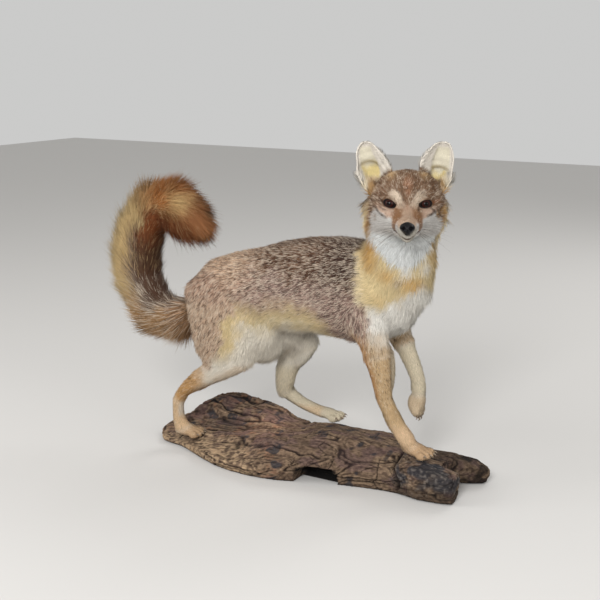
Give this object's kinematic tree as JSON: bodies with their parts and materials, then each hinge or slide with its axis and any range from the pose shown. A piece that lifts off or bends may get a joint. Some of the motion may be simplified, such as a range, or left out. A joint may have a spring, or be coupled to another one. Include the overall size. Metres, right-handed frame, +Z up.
{
  "type": "mounted taxidermy fox on a driftwood base",
  "caption": "Life-size mounted small fox standing with one forepaw lifted, head turned and tail curled up, on a flat piece of driftwood.",
  "frame": {"origin": "on the flat underside of the driftwood, below the middle of the fox's trunk", "axes": "+X the way the fox's trunk faces and along the driftwood, +Y the fox's left, +Z up"},
  "size_m": [0.6365, 0.1941, 0.496],
  "materials": {
    "grizzled_coat": "short dense fur, brown-grey flecked with pale hair tips",
    "tawny_coat": "short dense fur, golden tan",
    "cream_coat": "soft fur, cream to white",
    "white_coat": "short soft white fur",
    "tail_coat": "long loose fur, blond over dark grey",
    "tail_tip_coat": "long loose fur, golden with a rusty tip",
    "ear_coat": "thin ear with very short fur, pale yellow inside",
    "nose_skin": "black, slightly moist, fine pebbled grain",
    "eye_glass": "dark red-brown glass eye, polished",
    "driftwood": "weathered, cracked and fibrous, unvarnished"
  },
  "bodies": {
    "root": {"head": "grizzled_coat", "lower_jaw": "white_coat", "nose": "nose_skin", "eye_left": "eye_glass", "eye_right": "eye_glass", "ear_left": "ear_coat", "ear_right": "ear_coat", "trunk": "grizzled_coat", "neck": "tawny_coat", "thigh_right": "grizzled_coat", "thigh_left": "grizzled_coat", "shin_right": "cream_coat", "hock_right": "tawny_coat", "shin_left": "cream_coat", "hock_left": "tawny_coat", "upper_arm_right": "tawny_coat", "forearm_right": "tawny_coat", "upper_arm_left": "cream_coat", "forearm_left": "cream_coat", "paw_hind_right": "tawny_coat", "paw_hind_left": "tawny_coat", "paw_fore_right": "tawny_coat", "paw_fore_left": "tawny_coat", "tail_root": "tail_coat", "tail_middle": "tail_coat", "tail_tip": "tail_tip_coat", "driftwood": "driftwood"}
  },
  "joints": []
}
